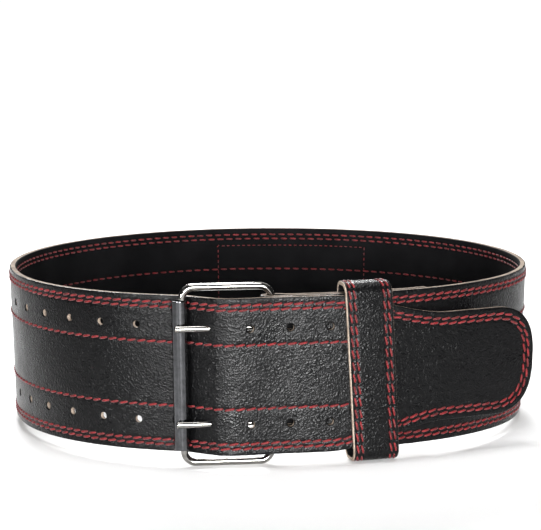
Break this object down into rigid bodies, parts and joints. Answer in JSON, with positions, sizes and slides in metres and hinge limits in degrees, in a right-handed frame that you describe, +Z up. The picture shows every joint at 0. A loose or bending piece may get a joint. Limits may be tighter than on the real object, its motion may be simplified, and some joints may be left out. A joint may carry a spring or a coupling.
{
  "type": "weightlifting belt",
  "caption": "Wide leather weightlifting belt, fastened in a loop by a roller buckle with prongs, with a keeper loop, a bare patch on the back and a round-tipped tongue.",
  "frame": {"origin": "on the surface it stands on, below the middle of its bounding box", "axes": "+X across the belt towards the side the tongue points to, +Y from the buckle to the back of the belt, +Z up"},
  "size_m": [0.3542, 0.3468, 0.1186],
  "materials": {
    "leather": "black grained leather with a soft gloss",
    "fabric": "matte black woven patch",
    "nickel": "polished nickel plate"
  },
  "bodies": {
    "root": {"strap": "leather", "keeper": "leather", "patch": "fabric", "buckle_frame": "nickel", "roller": "nickel", "prong_upper": "nickel", "prong_lower": "nickel", "rivet_near_top": "nickel", "rivet_near_middle": "nickel", "rivet_near_bottom": "nickel", "rivet_far_top": "nickel", "rivet_far_middle": "nickel", "rivet_far_bottom": "nickel"}
  },
  "joints": []
}
